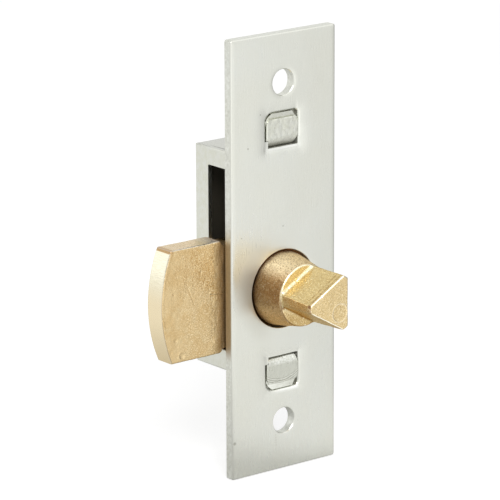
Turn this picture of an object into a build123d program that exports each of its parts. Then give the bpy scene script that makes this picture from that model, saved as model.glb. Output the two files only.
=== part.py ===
"""Quarter-turn mortise bolt lock for fire and service doors, worked by a triangular key.

Frame: millimetres. The origin is the centre of the faceplate's front face. +Z is up, -Y is
the side the key comes from, and the bolt points along -X when the lock is thrown.
"""
from build123d import *
import os
from math import radians, sqrt, tan

# Faceplate
PLATE_HEIGHT = 100.0
PLATE_WIDTH = 29.6
PLATE_THICKNESS = 2.3
PLATE_CORNER_R = 0.6
PLATE_FRONT_EDGE_R = 0.35
PLATE_BACK_EDGE = 0.15
SCREW_SPACING = 77.6
SCREW_HOLE_D = 5.9
SCREW_RIM = 0.15

# Turning axis of the bolt, below the plate's centre
SPINDLE_Z = -8.1

# Folded sheet case behind the plate
SHEET = 1.0
CASE_SIDE_MARGIN = 0.3
CASE_DEPTH = 11.2
CASE_GAP = 0.2
CASE_BEND_R = 1.3
CASE_CORNER_R = 0.5
SEAM_GAP = 0.3
SEAM_LENGTH = 8.0

# Staked tabs and their pockets in the plate's front
TAB_WIDTH = 8.2
TAB_REACH = 6.35
TAB_INNER_BEND_R = 0.35
TAB_SPREAD = 0.5
TAB_TIP_CHAMFER = 1.5
TAB_LIP_LENGTH = 1.1
TAB_LIP_STEP = 0.3
TAB_PAD_CORNER_R = 1.4
TAB_FACE_DEPTH = 0.05
TAB_SIDE_GAP = 0.1
TAB_END_GAP = 0.3
TAB_SEAT_GAP = 0.05
POCKET_SETBACK = 1.8
POCKET_CORNER_R = 1.0
POCKET_DISH = 0.6
SLOT_INNER_GAP = 0.35

# Bolt: a flat tongue, its neck, and the hub it turns on
TONGUE_REACH = 31.8
SWING_GAP = 0.35
TONGUE_HEIGHT = 25.8
TONGUE_THICKNESS = 5.1
TONGUE_BEHIND_PLATE = 0.8
TONGUE_EDGE_R = 0.4
BACK_EDGE = 0.15
SHOULDER_R = 1.0
SHOULDER_GAP = 0.3
NECK_HEIGHT = 23.8
SLOT_END_GAP = 0.3
SLOT_TOP_GAP = 0.8
SLOT_DEPTH_GAP = 0.3
SLOT_CORNER_R = 0.4
COLLAR_R = 10.6
HUB_END_GAP = 0.3

# Barrel and triangular drive, drawn at a casting draft
BARREL_BASE_R = 8.6
BARREL_END_R = 7.1
BARREL_LENGTH = 7.5
BARREL_EDGE = 0.25
BARREL_RECESS = 1.3
FRONT_BEARING_CLEARANCE = 0.08
BARREL_HOLE_R = 9.0
BARREL_RIM = 0.1
TRIANGLE_SIDE = 14.1
TRIANGLE_LENGTH = 10.0
TRIANGLE_DRAFT = 2.5
TRIANGLE_ROOT_R = 0.8
TRIANGLE_EDGE = 0.25

# Rear journal and the boss the detent spring grips
JOURNAL_R = 5.0
JOURNAL_CLEARANCE = 0.06
JOURNAL_CHAMFER = 0.4
JOURNAL_CENTRE_D = 2.4
BOSS_R = 6.6
BOSS_FLAT = 6.3

# Detent spring bent from one strip
STRIP = 0.7
STRIP_WIDTH = 3.0
STRIP_BEND_R = 1.2
LEG_GAP = 0.1
LEG_TOP = 2.0
LEG_LEAD = 1.4
KNEE_SHARE = 0.5
SPRING_WALL_GAP = 0.3

# Derived positions
case_front = PLATE_THICKNESS + CASE_GAP
case_back = case_front + CASE_DEPTH
case_floor = case_back - SHEET
wall_inside = SPINDLE_Z + TONGUE_REACH + SWING_GAP
wall_top = wall_inside + SHEET
side_outside = PLATE_WIDTH / 2 - CASE_SIDE_MARGIN
side_inside = side_outside - SHEET
tongue_front = PLATE_THICKNESS + TONGUE_BEHIND_PLATE
tongue_back = tongue_front + TONGUE_THICKNESS
shoulder_x = side_outside + SHOULDER_GAP
slot_low = SPINDLE_Z - NECK_HEIGHT / 2 - SLOT_END_GAP
tip_rise = sqrt(TONGUE_REACH**2 - side_outside**2)
slot_high = SPINDLE_Z + tip_rise + SLOT_TOP_GAP
slot_back = tongue_back + SLOT_DEPTH_GAP
hub_front = PLATE_THICKNESS + HUB_END_GAP
hub_back = case_floor - HUB_END_GAP
bearing_r = BARREL_HOLE_R - FRONT_BEARING_CLEARANCE
journal_hole_r = JOURNAL_R + JOURNAL_CLEARANCE
triangle_in_r = TRIANGLE_SIDE / (2 * sqrt(3))
root_in_r = triangle_in_r + TRIANGLE_LENGTH * tan(radians(TRIANGLE_DRAFT))
barrel_face_r = BARREL_END_R - BARREL_EDGE

# Staked tab, measured up from the case's centre
tab_front = TAB_FACE_DEPTH
tab_back = TAB_FACE_DEPTH + SHEET
tab_tip = wall_top + TAB_REACH
pocket_floor = tab_back + TAB_SEAT_GAP
slot_half = TAB_WIDTH / 2 + TAB_SIDE_GAP
slot_inner = wall_inside - SLOT_INNER_GAP
slot_outer = wall_top + TAB_INNER_BEND_R + SLOT_INNER_GAP
pocket_inner = slot_inner + POCKET_SETBACK
pocket_outer = tab_tip + TAB_END_GAP
pocket_left = slot_half + TAB_SPREAD + TAB_SIDE_GAP
head_inner = pocket_inner + TAB_SIDE_GAP
head_left = TAB_WIDTH / 2 + TAB_SPREAD

os.makedirs("parts", exist_ok=True)


def at_depth(y):
    """Sketch plane parallel to the faceplate, y behind its front face; it faces the key side."""
    return Plane.XZ.offset(-y)


# Faceplate: a punched strip with a pocket and a slot for each tab
with BuildPart() as faceplate:
    with BuildSketch(at_depth(PLATE_THICKNESS)):
        RectangleRounded(PLATE_WIDTH, PLATE_HEIGHT, PLATE_CORNER_R)
    extrude(amount=PLATE_THICKNESS)
    front_face = faceplate.faces().sort_by(Axis.Y)[0]
    back_face = faceplate.faces().sort_by(Axis.Y)[-1]
    fillet(front_face.edges(), PLATE_FRONT_EDGE_R)
    chamfer(back_face.edges(), PLATE_BACK_EDGE)

    # Pockets: they start past the slot's inner end, reach further left, and have a dished rim
    for way in (1, -1):
        pocket_x = (slot_half - pocket_left) / 2
        pocket_z = way * (pocket_inner + pocket_outer) / 2
        with BuildSketch(at_depth(0)):
            with Locations((pocket_x, pocket_z)):
                pocket = Rectangle(slot_half + pocket_left, pocket_outer - pocket_inner)
            fillet(pocket.vertices().group_by(Axis.Y)[-1 if way > 0 else 0], POCKET_CORNER_R)
        extrude(amount=-pocket_floor, mode=Mode.SUBTRACT)
        rim = faceplate.faces().sort_by(Axis.Y)[0].edges().filter_by(
            lambda edge, w=way: w * edge.center().Z > pocket_inner + POCKET_CORNER_R
            and w * edge.center().Z < pocket_outer + POCKET_CORNER_R
            and abs(edge.center().X) < pocket_left + POCKET_CORNER_R
        )
        fillet(rim, POCKET_DISH)
        with BuildSketch(at_depth(0)):
            with Locations((0, way * (slot_inner + slot_outer) / 2)):
                Rectangle(2 * slot_half, slot_outer - slot_inner)
        extrude(amount=-PLATE_THICKNESS, mode=Mode.SUBTRACT)

    # Holes for the barrel and the two fixing screws
    with Locations(at_depth(0)):
        with Locations((0, SPINDLE_Z)):
            Hole(BARREL_HOLE_R)
        with GridLocations(0, SCREW_SPACING, 1, 2):
            Hole(SCREW_HOLE_D / 2)
    round_rims = faceplate.faces().sort_by(Axis.Y)[0].edges().filter_by(GeomType.CIRCLE)
    screw_rims = round_rims.filter_by(lambda edge: abs(edge.radius - SCREW_HOLE_D / 2) < 0.01)
    barrel_rim = round_rims.filter_by(lambda edge: abs(edge.radius - BARREL_HOLE_R) < 0.01)
    chamfer(screw_rims, SCREW_RIM)
    chamfer(barrel_rim, BARREL_RIM)
faceplate.part.label = "faceplate"
faceplate.part.color = Color(0.78, 0.78, 0.74)
export_step(faceplate.part, "parts/faceplate.step")

# Case: one blank folded into a box that is open towards the plate
with BuildPart() as case:
    with BuildSketch(at_depth(case_back)):
        RectangleRounded(2 * side_outside, 2 * wall_top, CASE_CORNER_R)
    extrude(amount=CASE_DEPTH)
    with BuildSketch(Plane.XY):
        with Locations((0, (case_front + case_back) / 2)):
            plan = Rectangle(2 * side_outside, CASE_DEPTH)
        fillet(plan.vertices().group_by(Axis.Y)[-1], CASE_BEND_R)
    extrude(amount=wall_top, both=True, mode=Mode.INTERSECT)
    with BuildSketch(Plane.YZ):
        with Locations(((case_front + case_back) / 2, 0)):
            profile = Rectangle(CASE_DEPTH, 2 * wall_top)
        fillet(profile.vertices().group_by(Axis.X)[-1], CASE_BEND_R)
    extrude(amount=side_outside, both=True, mode=Mode.INTERSECT)
    with BuildSketch(at_depth(case_floor)):
        Rectangle(2 * side_inside, 2 * wall_inside)
    extrude(amount=CASE_DEPTH - SHEET, mode=Mode.SUBTRACT)
    floor_face = case.faces().filter_by(Axis.Y).filter_by(
        lambda face: abs(face.center().Y - case_floor) < 0.01
    )
    fillet(floor_face.edges(), CASE_BEND_R - SHEET)

    # The folds part at the four corners: a seam that opens towards the plate
    for side in (1, -1):
        for way in (1, -1):
            with BuildSketch(Plane.XY.offset(way * (wall_inside - SHEET / 2))):
                with BuildLine():
                    Polyline(
                        (side * side_inside, case_front),
                        (side * (side_inside - SEAM_GAP), case_front),
                        (side * side_inside, case_front + SEAM_LENGTH),
                        close=True,
                    )
                make_face()
            extrude(amount=way * 2 * SHEET, mode=Mode.SUBTRACT)

    # Way out for the bolt, open to the plate
    with BuildSketch(Plane.YZ.offset(-side_outside - SHEET)):
        with Locations(((case_front + slot_back) / 2, (slot_low + slot_high) / 2)):
            window = Rectangle(slot_back - case_front, slot_high - slot_low)
        fillet(window.vertices().group_by(Axis.X)[-1], SLOT_CORNER_R)
    extrude(amount=3 * SHEET, mode=Mode.SUBTRACT)

    # Rear bearing for the journal
    with Locations(at_depth(case_floor)):
        with Locations((0, SPINDLE_Z)):
            Hole(journal_hole_r)

    # Tabs: straight through the plate, bent outwards, and staked into a spread head
    for way in (1, -1):
        with BuildSketch(Plane.YZ.offset(-TAB_WIDTH / 2)):
            with BuildLine():
                Polyline(
                    (case_front + SHEET, way * wall_top),
                    (tab_back, way * wall_top),
                    (tab_back, way * head_inner),
                    (tab_front, way * head_inner),
                    (tab_front, way * wall_inside),
                    (case_front + SHEET, way * wall_inside),
                    close=True,
                )
            make_face()
        extrude(amount=TAB_WIDTH)
        bent = case.edges().filter_by(Axis.X).filter_by(
            lambda edge: abs(edge.length - TAB_WIDTH) < 0.01
        )
        inner_bend = bent.filter_by(
            lambda edge, w=way: abs(edge.center().Y - tab_back) < 0.01
            and abs(w * edge.center().Z - wall_top) < 0.01
        )
        outer_bend = bent.filter_by(
            lambda edge, w=way: abs(edge.center().Y - tab_front) < 0.01
            and abs(w * edge.center().Z - wall_inside) < 0.01
        )
        fillet(inner_bend, TAB_INNER_BEND_R)
        fillet(outer_bend, TAB_INNER_BEND_R + SHEET)

        # Head: a chamfered lip under a raised pad with round corners
        head_x = (TAB_WIDTH / 2 - head_left) / 2
        pad_tip = tab_tip - TAB_LIP_LENGTH
        with BuildSketch(at_depth(tab_back)):
            with Locations((head_x, way * (head_inner + tab_tip) / 2)):
                lip = Rectangle(TAB_WIDTH / 2 + head_left, tab_tip - head_inner)
            chamfer(lip.vertices().group_by(Axis.Y)[-1 if way > 0 else 0], TAB_TIP_CHAMFER)
        extrude(amount=SHEET - TAB_LIP_STEP)
        with BuildSketch(at_depth(tab_front + TAB_LIP_STEP)):
            with Locations((head_x, way * (head_inner + pad_tip) / 2)):
                pad = Rectangle(TAB_WIDTH / 2 + head_left, pad_tip - head_inner)
            fillet(pad.vertices().group_by(Axis.Y)[-1 if way > 0 else 0], TAB_PAD_CORNER_R)
        extrude(amount=TAB_LIP_STEP)
case.part.label = "case"
case.part.color = Color(0.80, 0.80, 0.76)
export_step(case.part, "parts/case.step")

# Triangular drive: drafted flats with a filleted root, whose corners keep the barrel's round
with BuildPart() as drive:
    with BuildSketch(at_depth(SHEET - BARREL_LENGTH)):
        with Locations((0, SPINDLE_Z)):
            Circle(2 * BARREL_END_R)
    extrude(amount=SHEET)
    with BuildSketch(at_depth(-BARREL_LENGTH)):
        with Locations((0, SPINDLE_Z)):
            RegularPolygon(root_in_r, 3, major_radius=False, rotation=180)
    extrude(amount=TRIANGLE_LENGTH, taper=TRIANGLE_DRAFT)
    root = drive.edges().filter_by(GeomType.LINE).filter_by(
        lambda edge: abs(edge.center().Y + BARREL_LENGTH) < 0.01
    )
    fillet(root, TRIANGLE_ROOT_R)
    with BuildSketch(at_depth(SHEET - BARREL_LENGTH)):
        with Locations((0, SPINDLE_Z)):
            Circle(barrel_face_r)
    extrude(amount=SHEET + TRIANGLE_LENGTH, mode=Mode.INTERSECT)
    chamfer(drive.faces().sort_by(Axis.Y)[0].edges(), TRIANGLE_EDGE)

# Bolt: tongue, neck, hub, barrel and triangular drive in one brass forging
with BuildPart() as bolt:
    # Tongue, with a tip that is struck from the turning axis
    with BuildSketch(at_depth(tongue_back)):
        with Locations((0, SPINDLE_Z)):
            Circle(TONGUE_REACH)
        with Locations((-(shoulder_x + TONGUE_REACH) / 2, SPINDLE_Z)):
            Rectangle(TONGUE_REACH - shoulder_x, TONGUE_HEIGHT, mode=Mode.INTERSECT)
    extrude(amount=TONGUE_THICKNESS)
    shoulders = bolt.edges().filter_by(Axis.Y).group_by(Axis.X)[-1]
    fillet(shoulders, SHOULDER_R)
    fillet(bolt.faces().sort_by(Axis.Y)[0].edges(), TONGUE_EDGE_R)
    chamfer(bolt.faces().sort_by(Axis.Y)[-1].edges(), BACK_EDGE)

    # Neck and hub disc
    with BuildSketch(at_depth(tongue_back)):
        with Locations((0, SPINDLE_Z)):
            Circle(NECK_HEIGHT / 2)
        with Locations((-(shoulder_x + SHOULDER_R) / 2, SPINDLE_Z)):
            Rectangle(shoulder_x + SHOULDER_R, NECK_HEIGHT)
    extrude(amount=TONGUE_THICKNESS)

    # Collar that keeps the bolt behind the plate, and the land that turns in its hole
    with BuildSketch(at_depth(tongue_front)):
        with Locations((0, SPINDLE_Z)):
            Circle(COLLAR_R)
    extrude(amount=tongue_front - hub_front)
    with BuildSketch(at_depth(hub_front)):
        with Locations((0, SPINDLE_Z)):
            Circle(bearing_r)
    extrude(amount=hub_front - BARREL_RECESS)

    # Drafted barrel with a broken rim
    with BuildSketch(at_depth(BARREL_RECESS)):
        with Locations((0, SPINDLE_Z)):
            Circle(BARREL_BASE_R)
    with BuildSketch(at_depth(BARREL_EDGE - BARREL_LENGTH)):
        with Locations((0, SPINDLE_Z)):
            Circle(BARREL_END_R)
    loft()
    with BuildSketch(at_depth(BARREL_EDGE - BARREL_LENGTH)):
        with Locations((0, SPINDLE_Z)):
            Circle(BARREL_END_R)
    with BuildSketch(at_depth(-BARREL_LENGTH)):
        with Locations((0, SPINDLE_Z)):
            Circle(barrel_face_r)
    loft()
    add(drive.part)

    # Boss with four flats, then the rear journal
    with BuildSketch(at_depth(hub_back)):
        with Locations((0, SPINDLE_Z)):
            Circle(BOSS_R)
            Rectangle(2 * BOSS_FLAT, 2 * BOSS_FLAT, mode=Mode.INTERSECT)
    extrude(amount=hub_back - tongue_back)
    with BuildSketch(at_depth(case_back)):
        with Locations((0, SPINDLE_Z)):
            Circle(JOURNAL_R)
    extrude(amount=case_back - hub_back)
    chamfer(bolt.faces().sort_by(Axis.Y)[-1].edges(), JOURNAL_CHAMFER)
    with BuildSketch(at_depth(case_back)):
        with Locations((0, SPINDLE_Z)):
            Circle(JOURNAL_CENTRE_D / 2)
    extrude(amount=JOURNAL_CENTRE_D / 2, taper=40, mode=Mode.SUBTRACT)
bolt.part.label = "bolt"
bolt.part.color = Color(0.80, 0.63, 0.36)
export_step(bolt.part, "parts/bolt.step")

# Detent spring: a strip that stands on the case's lower wall and grips the boss's flats
leg_x = BOSS_R + LEG_GAP + STRIP / 2
leg_low = SPINDLE_Z - BOSS_FLAT
foot_x = side_inside - SPRING_WALL_GAP - STRIP / 2
foot_z = -(wall_inside - SPRING_WALL_GAP - STRIP / 2)
knee_z = foot_z + KNEE_SHARE * (leg_low - foot_z)
half_path = (
    (leg_x + LEG_LEAD, SPINDLE_Z + BOSS_R + LEG_TOP),
    (leg_x, SPINDLE_Z + BOSS_R - LEG_LEAD),
    (leg_x, leg_low),
    (foot_x, knee_z),
    (foot_x, foot_z),
)
strip_path = [(-x, z) for x, z in half_path] + list(reversed(half_path))
with BuildPart() as detent_spring:
    with BuildSketch(at_depth(hub_back)):
        with BuildLine():
            centre_line = FilletPolyline(*strip_path, radius=STRIP_BEND_R)
            offset(centre_line, amount=STRIP / 2, side=Side.BOTH)
        make_face()
    extrude(amount=STRIP_WIDTH)
detent_spring.part.label = "detent_spring"
detent_spring.part.color = Color(0.30, 0.30, 0.32)
export_step(detent_spring.part, "parts/detent_spring.step")
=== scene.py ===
"""Looks of the quarter-turn mortise lock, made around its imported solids."""
import math

import bmesh
import bpy
import numpy as np
from mathutils import Matrix, Vector, noise


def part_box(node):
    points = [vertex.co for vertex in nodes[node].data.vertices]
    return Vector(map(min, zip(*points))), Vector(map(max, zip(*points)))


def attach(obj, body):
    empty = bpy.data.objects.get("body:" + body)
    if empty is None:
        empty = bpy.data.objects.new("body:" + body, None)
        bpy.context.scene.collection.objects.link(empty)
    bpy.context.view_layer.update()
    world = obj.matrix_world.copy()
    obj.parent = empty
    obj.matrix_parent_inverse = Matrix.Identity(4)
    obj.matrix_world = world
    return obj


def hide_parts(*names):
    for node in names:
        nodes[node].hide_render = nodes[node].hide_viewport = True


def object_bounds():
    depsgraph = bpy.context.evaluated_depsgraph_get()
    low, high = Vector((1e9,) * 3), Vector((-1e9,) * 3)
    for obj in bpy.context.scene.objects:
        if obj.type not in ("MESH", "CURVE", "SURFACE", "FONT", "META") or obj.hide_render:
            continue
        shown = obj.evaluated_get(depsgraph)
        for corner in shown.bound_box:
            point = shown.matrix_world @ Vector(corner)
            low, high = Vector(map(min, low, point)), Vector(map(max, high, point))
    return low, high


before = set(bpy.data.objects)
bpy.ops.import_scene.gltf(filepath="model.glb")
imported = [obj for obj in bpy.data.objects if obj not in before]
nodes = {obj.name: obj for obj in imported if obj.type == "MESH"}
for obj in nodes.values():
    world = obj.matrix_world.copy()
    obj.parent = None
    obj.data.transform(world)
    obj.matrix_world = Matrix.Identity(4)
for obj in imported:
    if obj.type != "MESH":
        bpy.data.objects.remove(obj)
cad_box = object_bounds()
bolt_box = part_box("bolt")

# Lengths are in mm here and become metres when a mesh is made. The front looks towards -Y,
# the tongue points towards -X, and +Z is up.
MM = 0.001
SPINDLE_Z = -8.1
PLATE_HALF_X = 14.8
PLATE_HALF_Z = 50.0
PLATE_BACK = 2.3
SCREW_Z = 38.8
SCREW_R = 2.95
BARREL_HOLE_R = 9.0
BARREL_END = -7.5
DRIVE_END = -17.5
# Each tab lies in a pocket of the plate; z counts from the plate's middle, up and down
POCKET_X = -0.3
POCKET_HALF_X = 4.5
POCKET_INNER = 23.7
POCKET_OUTER = 31.7
TAB_LEFT = -4.6
TAB_RIGHT = 4.1
TAB_PAD_END = 30.3
TAB_TIP = 31.4
# The photographed tabs and pockets sit a little higher than the drawing's middle
TAB_RAISE = 0.5
# Inside of the case
CASE_IN_X = 13.5
CASE_IN_Z = 24.05
CASE_FLOOR = 12.7
# The tongue's tip is an arc round the spindle, and lies left of TIP_X
TIP_R = 31.8
TIP_X = -20
TONGUE_TOP = 4.8
# The ejector pin's ring on the drive's end face
RING_X = 1.6
RING_Z = -10.2
RING_R = 2.1
# The bolt's skin is a net with this mesh
BOLT_NET = 0.12

# Camera fitted to the photograph: degrees, mm, metres and pixels
CAMERA_AZIMUTH = -38.671
CAMERA_ELEVATION = 15.167
CAMERA_ROLL = -0.201
CAMERA_TARGET = (-9.598, 0, 2.4)
CAMERA_DISTANCE_M = 0.835881
LENS_PIXELS = 3800
PHOTO_PIXELS = 500
SENSOR_MM = 36.0


# ---------------------------------------------------------------- mesh helpers
def solid_of(node):
    """The CAD node's mesh as a welded bmesh, in mm."""
    bm = bmesh.new()
    bm.from_mesh(nodes[node].data)
    bmesh.ops.scale(bm, vec=(1 / MM,) * 3, verts=bm.verts)
    bmesh.ops.remove_doubles(bm, verts=bm.verts, dist=0.0005)
    return bm


def steps(low, high, gap):
    """Places from low to high, evenly spaced by about the gap."""
    count = max(1, round((high - low) / gap))
    return [low + (high - low) * i / count for i in range(count + 1)]


def both_ways(places):
    return places + [-p for p in places]


def slice_faces(bm, test, axis, places):
    """Cuts the faces that pass the test by a plane at each place along the axis."""
    faces = [f for f in bm.faces if test(f)]
    verts = {v for f in faces for v in f.verts}
    edges = {e for f in faces for e in f.edges}
    geom = list(verts) + list(edges) + faces
    normal = Vector((0, 0, 0))
    normal[axis] = 1
    for place in sorted(places):
        cut = bmesh.ops.bisect_plane(
            bm, geom=geom, dist=0.002, plane_co=normal * place, plane_no=normal
        )
        geom = cut["geom"]


def mesh_of(bm, name, angle):
    """The bmesh as a mesh in metres, smooth but for edges sharper than the angle."""
    bmesh.ops.scale(bm, vec=(MM,) * 3, verts=bm.verts)
    mesh = bpy.data.meshes.new(name)
    bm.to_mesh(mesh)
    bm.free()
    drawn = mesh.attributes.get("custom_normal")
    if drawn:
        mesh.attributes.remove(drawn)
    mesh.shade_smooth()
    mesh.set_sharp_from_angle(angle=math.radians(angle))
    return mesh


def flatten_big_faces(obj):
    """Shades the large flat faces flat up to the small bends beside them."""
    even = obj.modifiers.new("even", "WEIGHTED_NORMAL")
    even.mode = "FACE_AREA"
    even.weight = 100
    even.keep_sharp = True


def link(name, data):
    obj = bpy.data.objects.new(name, data)
    bpy.context.scene.collection.objects.link(obj)
    return obj


def dress(obj, mat):
    obj.data.materials.clear()
    obj.data.materials.append(mat)


def piece(name, mesh, node, body, mat):
    """A skin in the place of its CAD node."""
    obj = link(name, mesh)
    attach(obj, body)
    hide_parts(node)
    dress(obj, mat)
    return obj


def rise(value, low, high):
    """0 at low and 1 at high, smooth between."""
    t = min(1.0, max(0.0, (value - low) / (high - low)))
    return t * t * (3 - 2 * t)


def fade(value, low, high):
    """1 at low and 0 at high, smooth between."""
    return 1 - rise(value, low, high)


def dip(distance, reach, power=2.0):
    """1 at distance 0, falling in a curve to 0 at the reach."""
    return max(0.0, 1 - max(0.0, distance) / reach) ** power


def bell(distance, width):
    return np.exp(-((distance / width) ** 2))


def wavy(x, z, size, seed):
    return noise.noise(Vector((x / size, seed, z / size)))


def from_pocket(x, z):
    """Distance from the nearest pocket; z from the middle between the pockets."""
    aside = max(abs(x - POCKET_X) - POCKET_HALF_X, 0)
    return math.hypot(aside, max(POCKET_INNER - abs(z), 0, abs(z) - POCKET_OUTER))


# ---------------------------------------------------------------- faceplate
def corner_pull(x, z):
    """How far the plate's metal reaches in over a pocket's left outer corner."""
    left = POCKET_X - POCKET_HALF_X
    away = math.hypot(x - left - 0.2, abs(z) - POCKET_OUTER + 0.2)
    return 0.34 * bell(away, 1.1)


def plate_dip(x, z):
    """How far the coined and polished front lies behind its flat plane."""
    rolled = 0.09 * dip(min(PLATE_HALF_X - abs(x), PLATE_HALF_Z - abs(z)), 1.25, 2.2)
    screw = 0.10 * dip(math.hypot(x, abs(z) - SCREW_Z) - SCREW_R, 0.95)
    barrel = 0.07 * dip(math.hypot(x, z - SPINDLE_Z) - BARREL_HOLE_R, 1.0)
    raised = z - TAB_RAISE
    near = from_pocket(x, raised)
    pocket = (0.29 + 0.06 * wavy(x, z, 2.5, 3.0)) * dip(near, 4.2, 3.0)
    # The upper pocket is hardly dished at the right of its tab's tip
    pocket *= 1 - 0.5 * rise(raised, 26.5, 29.5) * rise(x, 3.4, 4.4)
    slot = 0.15 * dip(near, 0.8, 1.6)
    slot *= fade(abs(raised), POCKET_INNER - 0.1, POCKET_INNER + 0.3)
    swell = 0.02 * wavy(x, z, 9.0, 7.0) + 0.006 * wavy(x, z, 3.5, 5.0)
    return rolled + screw + barrel + pocket + slot + max(0.0, swell + 0.012)


def make_plate(mat):
    bm = solid_of("faceplate")

    def front(face):
        return all(v.co.y < 0.36 for v in face.verts)

    # Cuts lie close along the rolled edges and round the holes and pockets, wide elsewhere
    xs = both_ways(steps(13.2, 14.75, 0.19) + steps(8.5, 13.0, 0.9)) + steps(-8.3, 8.3, 0.38)
    edge_zs = steps(48.4, 49.95, 0.19) + steps(43.2, 48.0, 1.2)
    hole_zs = steps(34.6, 43.0, 0.35) + steps(19.6, 34.3, 0.38)
    barrel_zs = steps(-19.2, 3.0, 0.5) + steps(4.0, 18.5, 1.4)
    slice_faces(bm, front, 0, xs)
    slice_faces(bm, front, 2, both_ways(edge_zs + hole_zs) + barrel_zs)
    for v in bm.verts:
        x, y, z = v.co
        raise_by = TAB_RAISE * fade(from_pocket(x, z), 0.2, 2.8)
        pull = corner_pull(x, z)
        # The pockets' inner ends reach closer to the tabs' bends
        if abs(abs(z) - POCKET_INNER) < 0.1 and -4.9 < x < 4.3:
            raise_by += 0.16 if z > 0 else -0.24
        v.co.x += pull
        v.co.y += plate_dip(x, z + raise_by) * fade(y, 0.4, 1.0)
        v.co.z += raise_by - math.copysign(pull, z)
    skin = mesh_of(bm, "faceplate_skin", 35)
    flatten_big_faces(
        piece("faceplate_skin", skin, "faceplate", "lock_case", mat)
    )


# ---------------------------------------------------------------- case with its two tabs
def tab_dip(x, z):
    """How far the front of a tab lies behind its drawn place; z from the plate's middle."""
    if z > TAB_PAD_END - 0.02:
        curl = -0.33 * min(1.0, (z - TAB_PAD_END) / (TAB_TIP - TAB_PAD_END))
        return 0.31 + curl + 0.05 * dip(x - TAB_LEFT, 0.8)
    crown = 0.06 * dip(min(x - TAB_LEFT, TAB_PAD_END - z), 0.34)
    scuff = 0.05 * wavy(x, z, 1.3, 11.0) + 0.035 * wavy(x, z, 0.55, 13.0)
    pressed = 0.06 * dip(math.hypot(x - POCKET_X, z - 28.2), 3.0)
    bend = 0.22 * dip(z - 24.8, 1.7)
    return 0.20 + crown + scuff + pressed + bend


def make_case(mat):
    bm = solid_of("case")

    def in_tab(co, back):
        return co.y <= back and abs(co.z) >= 23.9 and abs(co.x) <= 4.7

    def tab(face):
        return all(in_tab(v.co, 2.45) for v in face.verts)

    slice_faces(bm, tab, 0, steps(-4.5, 4.0, 0.25))
    slice_faces(bm, tab, 2, both_ways(steps(24.2, 31.3, 0.25)))
    for v in bm.verts:
        if not in_tab(v.co, 3.3):
            continue
        x, y, z = v.co
        v.co.z += TAB_RAISE * fade(y, PLATE_BACK, 3.2)
        if y < 1.7:
            from_right = TAB_RIGHT - x
            tip = 0.18 * fade(TAB_TIP - abs(z), 0.0, 0.9)
            # The tip fills the pocket's left corner, and the bend's right end is drawn in
            corner = 0.30 * bell(math.hypot(x - TAB_LEFT - 0.4, abs(z) - TAB_TIP + 0.4), 0.75)
            drawn_in = 0.70 * fade(abs(z), 24.1, 26.6) * fade(from_right, 0.0, 1.6)
            v.co.x += 0.08 * fade(from_right, 0.0, 0.6) - drawn_in - corner
            v.co.y += tab_dip(x, abs(z)) * fade(y, 0.45, 1.7)
            v.co.z += math.copysign(tip + corner, z)
    skin = mesh_of(bm, "case_skin", 40)
    flatten_big_faces(piece("case_skin", skin, "case", "lock_case", mat))


# ---------------------------------------------------------------- forged bolt
def voxel_copy(node, size):
    """The CAD node's solid as an even net of small quads, in mm."""
    bm = solid_of(node)
    blank_mesh = bpy.data.meshes.new("blank")
    bm.to_mesh(blank_mesh)
    bm.free()
    blank = link("blank", blank_mesh)
    grid = blank.modifiers.new("grid", "REMESH")
    grid.mode = "VOXEL"
    grid.voxel_size = size
    grid.adaptivity = 0.0
    graph = bpy.context.evaluated_depsgraph_get()
    made = bpy.data.meshes.new_from_object(blank.evaluated_get(graph))
    bpy.data.objects.remove(blank)
    bpy.data.meshes.remove(blank_mesh)
    return made


def get(items, key, width, kind=np.float64):
    """A property of all items as an array with a row for each."""
    out = np.empty(len(items) * width, dtype=kind)
    items.foreach_get(key, out)
    return out.reshape(-1, width)


def put_points(mesh, co):
    mesh.vertices.foreach_set("co", co.ravel())
    mesh.update()


def relax(co, edges, rounds, share):
    """Moves every point part of the way to its neighbours' middle."""
    a, b = edges[:, 0], edges[:, 1]
    count = np.bincount(a, minlength=len(co)) + np.bincount(b, minlength=len(co))
    for _ in range(rounds):
        mean = np.empty_like(co)
        for k in range(3):
            total = np.bincount(a, co[b, k], len(co)) + np.bincount(b, co[a, k], len(co))
            mean[:, k] = total / count
        co = co + (mean - co) * share[:, None]
    return co


def smooth(value, low, high):
    """The same as rise, for an array."""
    t = np.clip((value - low) / (high - low), 0, 1)
    return t * t * (3 - 2 * t)


def grain(co, size, seed):
    return np.array(
        [noise.noise(Vector((x / size + seed, y / size, z / size))) for x, y, z in co]
    )


def line_distance(co, start, end):
    start, end = np.array(start), np.array(end)
    way = end - start
    along = np.clip((co - start) @ way / (way @ way), 0, 1)
    return np.linalg.norm(co - start - along[:, None] * way, axis=1)


def spindle_distance(co):
    return np.hypot(co[:, 0], co[:, 2] - SPINDLE_Z)


def at_tip(co, start, full):
    """1 on the tongue's tip; start and full say how far short of its radius."""
    on_arc = smooth(spindle_distance(co), TIP_R - start, TIP_R - full)
    return np.where(co[:, 0] < TIP_X, on_arc, 0)


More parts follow.
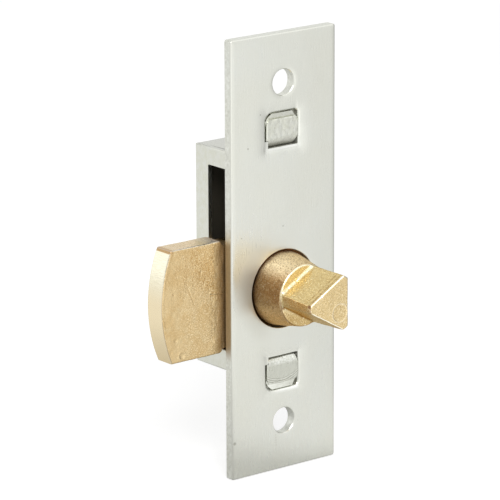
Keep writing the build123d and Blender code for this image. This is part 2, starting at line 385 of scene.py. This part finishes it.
# Pits of the forging: place, radius, depth, height of the rim round it; a negative depth is a lump
PITS = [
    ((-20.9, 3.1, -1.5), 0.30, 0.12, 0.0),
    ((-28.0, 3.1, -15.7), 0.45, 0.10, 0.02),
    ((-26.3, 3.1, -19.5), 0.62, 0.14, 0.07),
    ((-29.4, 3.1, -18.2), 0.28, 0.10, 0.0),
    ((-28.4, 3.1, -5.2), 0.28, 0.10, 0.0),
    ((-31.3, 3.1, -10.4), 0.30, 0.10, 0.0),
    ((-24.1, 3.1, -12.6), 0.25, 0.07, 0.0),
    ((-17.4, 3.1, 1.2), 0.25, 0.07, 0.0),
    ((-2.6, -7.8, -4.2), 0.42, 0.20, 0.05),
    ((-5.0, -7.8, -5.6), 0.22, 0.08, 0.0),
    ((-6.8, -12.4, -7.3), 0.25, 0.10, 0.0),
    ((-3.5, -17.4, -5.6), 0.20, 0.12, 0.0),
    ((-6.8, -17.2, -7.5), 0.32, 0.18, 0.0),
    ((-6.9, -16.4, -7.9), 0.35, -0.12, 0.0),
    ((3.8, -9.8, -13.2), 0.35, 0.10, 0.02),
    ((6.1, -4.2, -2.0), 0.40, 0.08, 0.02),
]
# Tool marks: start, end, half width, depth; a negative depth is a ridge
MARKS = [
    ((-18.4, 3.1, -6.6), (-14.5, 3.1, -7.3), 0.17, -0.09),
    ((-18.2, 3.1, -7.0), (-14.5, 3.1, -7.7), 0.15, 0.05),
    ((-6.5, -14.9, -7.0), (0.6, -16.2, -3.0), 0.14, 0.05),
    ((-24.9, 3.1, -3.4), (-22.6, 3.1, -8.8), 0.12, 0.03),
    ((2.0, -12.0, -12.5), (3.3, -15.6, -13.0), 0.14, 0.05),
]
# Waves of the forged skin: height, size, seed
WAVES = [(0.055, 3.1, 3.0), (0.022, 1.15, 9.0), (0.022, 0.42, 5.0)]
SKIN_LEVEL = -0.035


def skin_height(co, forged):
    """How far the forging's skin lies outside its solid."""
    height = sum(high * grain(co, size, seed) for high, size, seed in WAVES) + SKIN_LEVEL
    height *= forged
    for place, radius, depth, rim in PITS:
        away = np.linalg.norm(co - np.array(place), axis=1)
        height += rim * bell(away - 1.5 * radius, 0.45 * radius) - depth * bell(away, radius)
    for start, end, width, depth in MARKS:
        height -= depth * bell(line_distance(co, start, end), width)
    end_face = smooth(-co[:, 1], 17.1, 17.3)
    from_ring = np.hypot(co[:, 0] - RING_X, co[:, 2] - RING_Z) - RING_R
    ring = 0.05 * bell(from_ring, 0.16) - 0.045 * smooth(-from_ring, 0.0, 0.25)
    return height + end_face * ring


def make_bolt(mat):
    mesh = voxel_copy("bolt", BOLT_NET)
    co = get(mesh.vertices, "co", 3)
    edges = get(mesh.edges, "vertices", 2, np.int32)
    # Tongue, barrel and drive have a forged skin; the hub inside and the tip are machined
    tongue = smooth(-co[:, 0], 14.4, 15.0)
    front = smooth(-co[:, 1], -0.6, 0.4)
    forged = np.maximum(tongue, front) * (1 - at_tip(co, 0.9, 0.2))
    on_arc = at_tip(co, 0.2, 0.1)
    co = relax(co, edges, 2, 0.1 + 0.25 * forged)
    put_points(mesh, co)
    normal = get(mesh.vertices, "normal", 3)

    # The tip goes back onto its arc
    on_arc *= smooth(-normal[:, 0], 0.75, 0.9)
    pull = 1 + on_arc * ((TIP_R - 0.005) / np.maximum(spindle_distance(co), 1) - 1)
    co[:, 0] *= pull
    co[:, 2] = SPINDLE_Z + (co[:, 2] - SPINDLE_Z) * pull

    co = co + normal * skin_height(co, forged)[:, None]
    low, high = (np.array(end) / MM for end in bolt_box)
    put_points(mesh, np.clip(co, low, high) * MM)
    mesh.shade_smooth()
    piece("bolt_skin", mesh, "bolt", "turning_bolt", mat)


# ---------------------------------------------------------------- nodes
def direction(azimuth, elevation):
    """Unit vector in degrees; azimuth 0 is -Y and grows towards +X."""
    az, el = math.radians(azimuth), math.radians(elevation)
    return Vector((math.sin(az) * math.cos(el), -math.cos(az) * math.cos(el), math.sin(el)))


class Nodes:
    """A node tree, with short calls for the nodes this script uses."""

    def __init__(self, tree):
        self.nodes = tree.nodes
        self.links = tree.links

    def new(self, kind, **settings):
        node = self.nodes.new("ShaderNode" + kind)
        for name, value in settings.items():
            setattr(node, name, value)
        return node

    def put(self, socket, value):
        """Links another node's output to the socket, or sets the socket's own value."""
        if isinstance(value, bpy.types.NodeSocket):
            self.links.new(value, socket)
        elif socket.type == "RGBA":
            socket.default_value = (*value, 1)
        else:
            socket.default_value = value

    def run(self, kind, operation, values):
        node = self.new(kind, operation=operation)
        for socket, value in zip(node.inputs, values):
            self.put(socket, value)
        return node

    def math(self, operation, *values):
        return self.run("Math", operation, values).outputs[0]

    def vector(self, operation, *values):
        """A vector operation whose outcome is a number."""
        return self.run("VectorMath", operation, values).outputs["Value"]

    def chain(self, operation, values):
        out = values[0]
        for value in values[1:]:
            out = self.math(operation, out, value)
        return out

    def add(self, *values):
        return self.chain("ADD", values)

    def mul(self, *values):
        return self.chain("MULTIPLY", values)

    def largest(self, *values):
        return self.chain("MAXIMUM", values)

    def minus(self, a, b):
        return self.math("SUBTRACT", a, b)

    def absolute(self, value):
        return self.math("ABSOLUTE", value)

    def ramp(self, value, low, high, out_low=0.0, out_high=1.0):
        """out_low at low and out_high at high, smooth between; low may be the larger one."""
        node = self.new("MapRange", interpolation_type="SMOOTHSTEP")
        for socket, item in zip(node.inputs, (value, low, high, out_low, out_high)):
            self.put(socket, item)
        return node.outputs[0]

    def band(self, value, start, full, fading, end):
        """0 at start, 1 from full to fading, and 0 again at the end."""
        return self.mul(self.ramp(value, start, full), self.ramp(value, end, fading))


class Look(Nodes):
    """A material's nodes; places are in mm, and the colour is laid on coat by coat."""

    def __init__(self, name):
        self.mat = bpy.data.materials.new(name)
        self.mat.use_nodes = True
        super().__init__(self.mat.node_tree)
        self.bsdf = self.nodes["Principled BSDF"]
        scale = self.new("VectorMath", operation="SCALE")
        self.put(scale.inputs["Scale"], 1 / MM)
        self.put(scale.inputs[0], self.new("TexCoord").outputs["Object"])
        self.place = scale.outputs[0]
        self.x, self.y, self.z = self.split(self.place)
        self.color = None

    def split(self, vector):
        node = self.new("SeparateXYZ")
        self.put(node.inputs[0], vector)
        return node.outputs

    def surface(self):
        """How far the surface faces the front, from -1 to 1, and how it bends."""
        shape = self.new("NewGeometry")
        facing = self.split(shape.outputs["Normal"])
        return self.mul(facing[1], -1.0), shape.outputs["Pointiness"]

    def noise(self, scale, detail, rough, stretch=None, distortion=0.0):
        node = self.new("TexNoise")
        self.put(node.inputs["Scale"], scale)
        self.put(node.inputs["Detail"], detail)
        self.put(node.inputs["Roughness"], rough)
        self.put(node.inputs["Distortion"], distortion)
        place = self.place
        if stretch:
            mapping = self.new("Mapping")
            self.put(mapping.inputs["Scale"], stretch)
            self.put(mapping.inputs[0], place)
            place = mapping.outputs[0]
        self.put(node.inputs["Vector"], place)
        return node.outputs[0]

    def dots(self, scale, radius):
        """1 in small round dots, scattered about 1/scale mm apart."""
        node = self.new("TexVoronoi")
        self.put(node.inputs["Scale"], scale)
        self.put(node.inputs["Vector"], self.place)
        return self.ramp(node.outputs["Distance"], radius * scale, radius * scale * 0.6)

    def spot(self, place, full, end):
        """1 up to the full distance from the place, and 0 from the end distance on."""
        return self.ramp(self.vector("DISTANCE", self.place, place), end, full)

    def near(self, value, middle, full, end):
        """1 up to the full distance from the middle value, and 0 from the end distance on."""
        return self.ramp(self.absolute(self.minus(value, middle)), end, full)

    def from_line(self, x, z):
        """Distance from the line along Y at this x and z."""
        dx, dz = self.minus(self.x, x), self.minus(self.z, z)
        return self.math("SQRT", self.add(self.mul(dx, dx), self.mul(dz, dz)))

    def mix(self, share, a, b):
        node = self.new("Mix", data_type="RGBA", clamp_factor=True)
        # The sockets 6, 7 and output 2 are those for colours
        for socket, value in ((0, share), (6, a), (7, b)):
            self.put(node.inputs[socket], value)
        return node.outputs[2]

    def paint(self, color, *shares):
        """Lays a colour over what is there, as far as the product of the shares."""
        self.color = self.mix(self.mul(*shares), self.color, color)

    def bump(self, height, distance, strength, normal=None):
        node = self.new("Bump")
        self.put(node.inputs["Strength"], strength)
        self.put(node.inputs["Distance"], distance * MM)
        self.put(node.inputs["Height"], height)
        if normal:
            self.put(node.inputs["Normal"], normal)
        return node.outputs[0]

    def finish(self, rough, normal, metallic=1.0):
        self.put(self.bsdf.inputs["Base Color"], self.color)
        self.put(self.bsdf.inputs["Roughness"], rough)
        self.put(self.bsdf.inputs["Metallic"], metallic)
        self.put(self.bsdf.inputs["Normal"], normal)
        return self.mat


# ---------------------------------------------------------------- materials
# Specks in the plate's front: x, z, radius
SPECKS = [
    (-11.95, 5.4, 0.22),
    (-10.05, 25.3, 0.28),
    (-0.2, 6.3, 0.24),
    (-6.5, 32.4, 0.26),
    (-14.1, -41.5, 0.5),
]
# A scratch in the plate's front is a row of faint spots: x and z of each
SCRATCH = [(-2.4 + 0.03 * k, -41.8 - 0.6 * k) for k in range(5)]


def nickel(name):
    """The plated steel of plate and sheet: its look, its fine grain and its roughness."""
    t = Look(name)
    cloud = t.noise(0.06, 2, 0.5)
    fine = t.noise(1.0, 2, 0.6, stretch=(6, 6, 0.25))
    t.color = t.mix(t.ramp(cloud, 0.3, 0.7), (0.665, 0.68, 0.635), (0.65, 0.655, 0.585))
    t.paint((0.675, 0.68, 0.62), t.ramp(fine, 0.3, 0.7))
    t.paint((0.42, 0.42, 0.36), t.dots(0.22, 0.16), 0.5)
    return t, fine, t.ramp(fine, 0.2, 0.8, 0.25, 0.36)


def from_tabs_middle(t):
    return t.absolute(t.minus(t.z, TAB_RAISE))


def plate_metal(name):
    t, fine, rough = nickel(name)
    ahead, _ = t.surface()
    front = t.ramp(t.y, 0.5, 0.3)
    # Walls and bottoms of the pockets are in shade, less so where a tab's tip fills a corner
    far_z = from_tabs_middle(t)
    across = t.absolute(t.minus(t.x, POCKET_X))
    sunk_in_shade = t.largest(t.band(ahead, -0.5, -0.3, 0.5, 0.75), t.band(t.y, 0.62, 0.80, 1.8, 2.0))
    in_pocket = t.mul(
        t.ramp(across, POCKET_HALF_X + 0.05, POCKET_HALF_X - 0.02),
        t.band(far_z, POCKET_INNER - 0.1, POCKET_INNER, POCKET_OUTER, POCKET_OUTER + 0.1),
    )
    filled = t.largest(t.spot((-4.6, 0.6, 32.0), 0.6, 1.7), t.spot((-4.6, 0.6, -31.0), 0.6, 1.7))
    shade = t.mul(sunk_in_shade, in_pocket, t.minus(1.0, t.mul(filled, 0.6)))
    # Keys have worn the plate rough round the barrel, and less metallic at its left
    from_spindle = t.from_line(0.0, SPINDLE_Z)
    at_left = t.ramp(t.x, -3.0, -8.0)
    rubbed_and_shaded = t.mul(t.ramp(from_spindle, 14.5, 9.5), front)
    dulled = t.mul(t.ramp(from_spindle, 19.0, 11.0), front, at_left, t.ramp(t.z, -14.5, -8.5))
    darkest_shadow = t.band(t.z, -13.0, -9.5, -4.0, 0.5)
    # Painted shadow at the barrel's left, darkest beside its middle
    t.paint((0.38, 0.365, 0.31), rubbed_and_shaded, at_left, t.add(0.25, t.mul(darkest_shadow, 0.38)))
    t.paint((0.17, 0.165, 0.12), shade, 0.8)
    t.paint((0.42, 0.42, 0.38), t.ramp(t.absolute(t.x), 13.9, 14.5), front, 0.22)
    # Painted highlights lie along two edges of the pockets
    above = t.mul(
        t.band(t.z, 23.75, 24.0, 24.4, 24.6),
        t.ramp(across, 4.6, 4.4),
        t.ramp(t.x, -5.0, 2.0, 0.4, 1.0),
    )
    under = t.mul(
        t.ramp(t.z, -31.2, -31.3), t.ramp(t.z, -32.4, -31.7), t.band(t.x, -3.0, 0.0, 4.0, 4.6)
    )
    t.paint((0.87, 0.88, 0.84), t.largest(above, under), t.ramp(ahead, 0.6, 0.8), 0.65)
    # The sheared edges are mottled; beside the tongue they get a painted brown reflection of it,
    # in shade
    sheared = t.ramp(t.absolute(ahead), 0.35, 0.2)
    mottle = t.noise(1.3, 4, 0.7)
    t.paint((0.42, 0.425, 0.36), sheared, t.ramp(mottle, 0.5, 0.65), 0.32)
    t.paint((0.82, 0.83, 0.78), sheared, t.ramp(mottle, 0.48, 0.36), 0.5)
    painted_tongue_reflection = t.mul(t.ramp(t.x, -14.0, -14.6), t.band(t.z, -23.0, -20.0, 3.5, 5.5))
    t.paint((0.32, 0.235, 0.135), sheared, painted_tongue_reflection, 0.6)
    for x, z, size in SPECKS:
        t.paint((0.25, 0.25, 0.20), t.spot((x, 0.0, z), size * 0.4, size), 0.6)
    for x, z in SCRATCH:
        t.paint((0.35, 0.35, 0.30), t.spot((x, 0.0, z), 0.12, 0.34), 0.22)
    rough = t.add(rough, t.mul(rubbed_and_shaded, 0.06), t.mul(sheared, 0.16))
    metal = t.minus(1.0, t.largest(t.mul(shade, 0.7), t.mul(dulled, 0.6)))
    return t.finish(rough, t.bump(fine, 0.02, 0.6), metal)


def sheet_metal(name):
    t, fine, rough = nickel(name)
    mottle = t.noise(0.7, 4, 0.65)
    t.paint((0.62, 0.625, 0.53), t.ramp(mottle, 0.35, 0.65, 0.0, 0.7))
    # The tabs' heads are scuffed, the upper one less than the lower one
    far_z = from_tabs_middle(t)
    head = t.mul(t.ramp(t.y, 1.6, 1.3), t.ramp(far_z, POCKET_INNER - 0.1, POCKET_INNER))
    scuffs = t.noise(2.2, 3, 0.7, distortion=0.6)
    t.paint((0.53, 0.54, 0.475), head, t.ramp(t.z, -1.0, 1.0, 0.85, 0.28))
    t.paint((0.30, 0.30, 0.24), head, t.ramp(scuffs, 0.56, 0.66), 0.35)
    # The upper tab's bend is less metallic and painted grey as shade; the lower one's gets painted
    # sparkling highlights
    before_back = t.ramp(t.y, 2.6, 2.4)
    upper = t.mul(t.band(t.z, 23.0, 23.5, 25.2, 26.9), before_back)
    t.paint((0.50, 0.50, 0.43), upper, 0.8)
    lower = t.mul(t.band(t.z, -25.8, -25.2, -24.0, -23.5), before_back)
    painted_sparkle = t.mul(t.ramp(scuffs, 0.4, 0.6), t.ramp(t.x, -4.5, -1.0, 0.3, 0.8))
    t.paint((0.80, 0.81, 0.76), lower, painted_sparkle)
    # The lower tab was pressed in bowed steps between its pad and its lip
    middle = t.add(t.x, 0.5)
    past = t.minus(t.add(t.mul(middle, middle, 0.065), -29.95), t.z)
    phase = t.math("FRACT", t.add(t.mul(past, 1.9), mottle))
    step = t.absolute(t.minus(phase, 0.5))
    stepped = t.mul(head, t.band(past, -1.25, -0.95, 0.05, 0.25), t.ramp(mottle, 0.3, 0.5, 0.45))
    # Dark and light lines along the steps are painted shade and highlights
    t.paint((0.26, 0.26, 0.21), stepped, t.ramp(step, 0.22, 0.06), 0.75)
    t.paint((0.74, 0.745, 0.69), stepped, t.ramp(step, 0.32, 0.46), 0.65)
    # The lip is painted lighter, as lit
    patchy = t.ramp(t.noise(1.0, 2, 0.5, stretch=(0.4, 1, 2.4)), 0.35, 0.6, 0.35, 0.9)
    lip = t.mul(t.ramp(past, 0.0, 0.18), t.ramp(t.z, 0.0, -1.0), t.ramp(t.x, 2.6, 0.4, 0.15))
    t.paint((0.74, 0.75, 0.69), head, lip, patchy)
    # The case's upper and lower walls are greyer than its sides
    roof = t.mul(t.ramp(t.absolute(t.z), 24.9, 25.02), t.ramp(t.y, 2.5, 2.7))
    t.paint((0.52, 0.525, 0.475), roof)
    # Inside, the case is painted dark as shade
    shaded_inside = t.mul(
        t.math("LESS_THAN", t.absolute(t.x), CASE_IN_X + 0.02),
        t.math("LESS_THAN", t.y, CASE_FLOOR + 0.02),
        t.math("GREATER_THAN", t.y, PLATE_BACK + 0.3),
        t.math("LESS_THAN", t.absolute(t.z), CASE_IN_Z + 0.02),
    )
    t.paint((0.06, 0.054, 0.04), shaded_inside)
    rough = t.add(rough, t.mul(shaded_inside, 0.3))
    metal = t.minus(1.0, t.largest(t.mul(shaded_inside, 0.9), t.mul(upper, 0.7)))
    rubbing = t.mul(t.add(t.mul(head, 0.7), t.mul(lower, 1.2)), scuffs)
    height = t.add(fine, rubbing, t.mul(stepped, step, 1.5))
    return t.finish(rough, t.bump(height, 0.02, 0.6), metal)


def brass(name):
    t = Look(name)
    t.put(t.bsdf.inputs["Specular Tint"], (0.86, 0.71, 0.48))
    big = t.noise(0.16, 3, 0.6)
    mid = t.noise(0.8, 2, 0.5)
    fine = t.noise(3.2, 2, 0.7)
    ahead, bent = t.surface()
    radius = t.from_line(0.0, SPINDLE_Z)
    # Barrel and drive, as against the tongue
    inner = t.ramp(radius, BARREL_HOLE_R + 0.6, BARREL_HOLE_R + 0.2)
    top_edge = t.ramp(t.z, TONGUE_TOP - 0.3, TONGUE_TOP - 0.1)

    t.color = t.mix(t.ramp(big, 0.35, 0.65), (0.60, 0.455, 0.245), (0.555, 0.40, 0.195))
    t.paint((0.64, 0.51, 0.29), t.ramp(mid, 0.45, 0.75), 0.6)
    # The tongue's upper edge is painted paler and greyer than its faces, as its reflection at a
    # grazing view
    t.paint((0.80, 0.82, 0.83), top_edge, t.ramp(t.x, -14.0, -15.0), 0.60)
    # Barrel end and drive are cleaner and yellower than the tongue
    t.paint((0.70, 0.55, 0.285), t.ramp(t.y, BARREL_END + 0.5, BARREL_END), inner, 0.7)
    # The end's crescents beside the drive are painted lighter above, as lit, and darker below, as
    # the drive's shade
    moon = t.mul(t.ramp(t.y, -7.0, -7.3), t.ramp(t.y, -8.3, -7.8), inner)
    t.paint((0.84, 0.76, 0.49), moon, t.ramp(t.z, -12.0, -8.5), 0.75)
    t.paint((0.50, 0.345, 0.13), moon, t.ramp(t.z, -10.5, -13.0), 0.7)

    # The barrel's cone keeps a brown forging skin, and is darker brown towards its upper left
    cone = t.mul(t.ramp(t.y, -7.4, -6.8), inner)
    left = t.mul(t.ramp(t.x, 4.0, -3.8), t.ramp(t.z, -7.5, -12.0, 1.0, 0.35))
    patchy = t.ramp(t.noise(0.8, 4, 0.7), 0.3, 0.65, 0.50, 0.80)
    t.paint((0.285, 0.15, 0.055), cone, t.add(0.12, t.mul(left, patchy)))
    # Painted light on the cone's upper side
    t.paint((0.97, 0.81, 0.55), cone, t.ramp(t.z, -4.6, -1.0), 0.88)
    t.paint((0.90, 0.57, 0.26), cone, t.ramp(t.z, -9.0, -12.5), 0.55)
    wrinkles = t.near(t.noise(0.9, 2, 0.5, distortion=1.2), 0.5, 0.006, 0.030)
    t.paint((0.14, 0.07, 0.025), cone, wrinkles, 0.55)

    # The skin's grains are dark and light, and smoother towards the tongue's tip
    grainy = t.ramp(t.add(t.x, t.mul(big, 8.0)), -25.5, -18.5, 0.35, 1.0)
    dark_share = t.ramp(cone, 0.0, 1.0, 0.5, 0.85)
    light_share = t.ramp(cone, 0.0, 1.0, 0.5, 0.2)
    t.paint((0.30, 0.17, 0.065), t.ramp(fine, 0.53, 0.68), dark_share, grainy)
    t.paint((0.98, 0.88, 0.64), t.ramp(fine, 0.46, 0.33), light_share, grainy)
    # Inside the plate's hole the barrel gets painted shade: nearly black, and red brown on top
    sunk_in_shade = t.mul(t.band(t.y, 0.20, 0.50, 2.4, 2.6), inner)
    t.paint(t.mix(t.ramp(t.z, -4.0, -1.0), (0.07, 0.035, 0.014), (0.36, 0.16, 0.06)), sunk_in_shade, 0.85)
    # The tongue is rougher, and painted darker as shade, where it goes into the case
    root = t.band(t.x, -17.4, -14.9, -13.0, -12.0)
    t.paint((0.42, 0.24, 0.10), root, 0.50)

    # The blunt corner of the drive has a darker brown line
    corner = t.mul(t.ramp(t.x, -6.3, -6.9), t.ramp(t.y, -7.6, -8.2), inner)
    t.paint((0.32, 0.17, 0.08), corner, 0.30)
    # The drive's lower flat is painted darker and browner than the upper one
    below = t.minus(t.mul(t.x, -0.5), t.mul(t.minus(t.z, SPINDLE_Z), 0.866))
    lower_flat = t.mul(t.ramp(below, 3.7, 3.95), t.ramp(ahead, 0.3, 0.22), t.ramp(t.y, -8.0, -8.6))
    t.paint((0.40, 0.25, 0.09), lower_flat, inner, 0.35)
    # Scale lines run beside the drive's bevel
    beside = t.mul(t.ramp(ahead, 0.28, 0.2), t.ramp(t.y, -9.5, -11.0))
    line = t.mul(t.near(t.y, -16.65, 0.12, 0.32), t.ramp(mid, 0.35, 0.55, 0.3, 0.7))
    second = t.mul(t.near(t.y, -15.55, 0.08, 0.28), t.ramp(mid, 0.40, 0.6, 0.1, 0.6))
    t.paint((0.33, 0.20, 0.085), beside, t.largest(line, second))
    t.paint((0.22, 0.10, 0.04), t.spot((-6.85, -17.1, -7.4), 0.3, 0.6), 0.9)

    # Worn edges are bright, pits and inner corners dark
    t.paint((1.0, 0.93, 0.74), t.ramp(bent, 0.53, 0.60), t.minus(1.0, t.mul(cone, 0.8)), 0.7)
    t.paint((0.28, 0.15, 0.06), t.ramp(bent, 0.47, 0.42), 0.6)
    # Painted shade darkens the barrel end's rim below
    rim = t.mul(
        t.ramp(t.y, -7.1, -7.3), t.band(ahead, 0.30, 0.45, 0.85, 0.95), t.ramp(radius, 6.2, 6.5)
    )
    t.paint((0.27, 0.14, 0.05), rim, t.ramp(t.z, -6.5, -9.0), 0.75)
    # The rim's top, the drive's bevel and the ejector pin's ring get painted highlights
    top_rim = t.mul(rim, t.ramp(t.z, -7.0, -4.5), t.ramp(mid, 0.35, 0.6, 0.0, 0.5))
    bevel = t.mul(
        t.band(ahead, 0.30, 0.48, 0.86, 0.95),
        t.ramp(t.y, DRIVE_END + 0.6, DRIVE_END + 0.4),
        t.ramp(t.x, -6.7, -5.8),
    )
    on_end = t.ramp(t.y, DRIVE_END + 0.4, DRIVE_END + 0.2)
    ring = t.mul(t.near(t.from_line(RING_X, RING_Z), RING_R, 0.06, 0.22), on_end)
    t.paint((1.0, 0.95, 0.80), t.largest(t.mul(bevel, 0.9), top_rim, t.mul(ring, 0.25)))

    # The tip is machined and pale, but its upper edge keeps the brown skin
    lines = t.noise(1.0, 2, 0.5, stretch=(0.3, 0.6, 7))
    tip = t.mix(t.ramp(lines, 0.3, 0.7), (0.89, 0.855, 0.69), (0.81, 0.765, 0.59))
    tip = t.mix(t.ramp(t.z, 0.0, -8.0), tip, (0.79, 0.685, 0.475))
    t.paint((0.36, 0.215, 0.10), t.ramp(t.x, -28.3, -28.8), t.ramp(t.z, 3.95, 4.2), 0.55)
    on_tip = t.mul(
        t.ramp(radius, TIP_R - 0.25, TIP_R - 0.1),
        t.math("LESS_THAN", t.x, TIP_X),
        t.ramp(t.z, 4.15, 3.95),
    )
    t.paint(tip, on_tip)
    t.paint((0.30, 0.17, 0.07), on_tip, t.ramp(t.y, 3.34, 3.18), 0.7)

    off_tip = t.minus(1.0, on_tip)
    dull_top = t.mul(top_edge, t.ramp(t.x, -20.5, -17.0), 0.25)
    rough = t.mul(t.add(0.27, t.mul(cone, 0.14), t.mul(root, 0.25), dull_top), off_tip)
    folds = t.mul(cone, t.noise(1.5, 4, 0.75, distortion=1.8), 1.6)
    skin = t.bump(t.mul(t.add(fine, folds), off_tip), 0.05, 0.8)
    surface = t.bump(t.mul(lines, on_tip), 0.03, 0.6, skin)
    return t.finish(t.add(rough, t.mul(on_tip, 0.20)), surface)


def black_spring(name):
    t = Look(name)
    grey = t.noise(1.5, 3, 0.6)
    t.color = t.mix(t.ramp(grey, 0.3, 0.7), (0.05, 0.05, 0.055), (0.12, 0.11, 0.10))
    return t.finish(t.ramp(grey, 0.2, 0.8, 0.35, 0.5), t.bump(grey, 0.03, 0.4))


make_plate(plate_metal("nickel_plate"))
make_case(sheet_metal("nickel_sheet"))
make_bolt(brass("forged_brass"))
dress(nodes["detent_spring"], black_spring("spring_black"))


# ---------------------------------------------------------------- floor, light, camera
# Lobes of light that metal mirrors, in the floor and in the world: azimuth and elevation, cosine
# where the lobe starts and where it is full, strength
FLOOR_LOBES = [
    (-5, 0, 0.68, 0.96, 0.42),
    (100, 0, 0.45, 0.90, -0.50),
]
WORLD_LOBES = [
    (-5, 5, 0.68, 0.96, 0.28),
    (40, 9, 0.93, 0.995, 0.26),
    (-141, 9, 0.90, 0.985, 0.30),
    (95, -5, 0.50, 0.90, -0.50),
    (28, 55, 0.66, 0.92, 0.45),
    (140, 26, 0.82, 0.97, 0.22),
]
FLOOR_HALF_M = 4.0
FLOOR_GAP_M = 0.0001


class Light(Nodes):
    """Nodes of the floor or the world, whose level depends on where a reflection points."""

    def __init__(self, tree):
        super().__init__(tree)
        self.path = self.new("LightPath").outputs

    def towards(self, source, azimuth, elevation):
        """How far the source vector reaches in a direction."""
        return self.vector("DOT_PRODUCT", source, direction(azimuth, elevation))

    def lobes(self, level, source, rows):
        for azimuth, elevation, start, full, strength in rows:
            reach = self.towards(source, azimuth, elevation)
            level = self.add(self.ramp(reach, start, full, 0.0, strength), level)
        return level

    def seen(self):
        """1 for rays from the camera or through glass."""
        return self.largest(self.path["Is Camera Ray"], self.path["Is Transmission Ray"])


def make_floor():
    mesh = bpy.data.meshes.new("floor")
    end, z = FLOOR_HALF_M, cad_box[0].z - FLOOR_GAP_M
    corners = [(-end, -end, z), (end, -end, z), (end, end, z), (-end, end, z)]
    mesh.from_pydata(corners, [], [(0, 1, 2, 3)])
    floor = link("floor", mesh)
    mat = bpy.data.materials.new("floor_white")
    mat.use_nodes = True
    mat.node_tree.nodes.clear()
    light = Light(mat.node_tree)
    diffuse = light.new("BsdfDiffuse")
    light.put(diffuse.inputs["Color"], (0.62, 0.62, 0.62))
    place = light.new("TexCoord").outputs["Object"]
    unit = light.new("VectorMath", operation="NORMALIZE")
    light.put(unit.inputs[0], place)
    # Metal mirrors the floor dimmer close under the object, but not ahead of the plate
    under = light.ramp(light.vector("LENGTH", place), 0.04, 0.14, 0.25, 1.0)
    ahead = light.ramp(light.towards(place, 39, 0), 0.0, 0.025, 0.25, 1.0)
    mirrored = light.largest(0.0, light.lobes(0.50, unit.outputs["Vector"], FLOOR_LOBES))
    to_metal = light.mul(light.path["Is Glossy Ray"], light.largest(under, ahead), mirrored)
    to_camera = light.mul(light.seen(), 0.52)
    glow = light.new("Emission")
    light.put(glow.inputs["Strength"], light.largest(to_camera, to_metal))
    both = light.new("AddShader")
    light.put(both.inputs[0], diffuse.outputs[0])
    light.put(both.inputs[1], glow.outputs[0])
    light.put(light.new("OutputMaterial").inputs["Surface"], both.outputs[0])
    mesh.materials.append(mat)


def make_world():
    world = bpy.data.worlds.new("studio")
    bpy.context.scene.world = world
    world.use_nodes = True
    light = Light(world.node_tree)
    way = light.new("TexCoord").outputs["Generated"]
    # Metal mirrors a room that is bright ahead, above and behind on both sides, dim at the right
    glossy = light.path["Is Glossy Ray"]
    mirrored = light.mul(glossy, light.lobes(0.98, way, WORLD_LOBES))
    plain = light.mul(light.minus(1.0, glossy), light.ramp(light.seen(), 0.0, 1.0, 0.7, 1.0))
    sky = light.nodes["Background"]
    light.put(sky.inputs["Color"], (1, 1, 1))
    light.put(sky.inputs["Strength"], light.add(mirrored, plain))


def make_lamp():
    data = bpy.data.lights.new("key", "AREA")
    data.shape = "SQUARE"
    data.size = 0.5
    data.energy = 6.0
    lamp = link("key", data)
    lamp.location = (-0.55, -0.75, 0.75)
    lamp.rotation_mode = "QUATERNION"
    lamp.rotation_quaternion = (-lamp.location).to_track_quat("-Z", "Y")


def make_camera():
    back = direction(CAMERA_AZIMUTH, CAMERA_ELEVATION)
    roll = math.radians(CAMERA_ROLL)
    level_right = Vector((0, 0, 1)).cross(back).normalized()
    level_up = back.cross(level_right)
    right = math.cos(roll) * level_right + math.sin(roll) * level_up
    up = -math.sin(roll) * level_right + math.cos(roll) * level_up
    data = bpy.data.cameras.new("photo_camera")
    data.sensor_width = SENSOR_MM
    data.lens = LENS_PIXELS / PHOTO_PIXELS * SENSOR_MM
    data.clip_start, data.clip_end = 0.05, 20
    camera = link("photo_camera", data)
    place = Matrix((right, up, back)).transposed().to_4x4()
    place.translation = Vector(CAMERA_TARGET) * MM + back * CAMERA_DISTANCE_M
    camera.matrix_world = place
    bpy.context.scene.camera = camera


make_floor()
make_world()
make_lamp()
make_camera()

scene = bpy.context.scene
scene.view_settings.view_transform = "Standard"
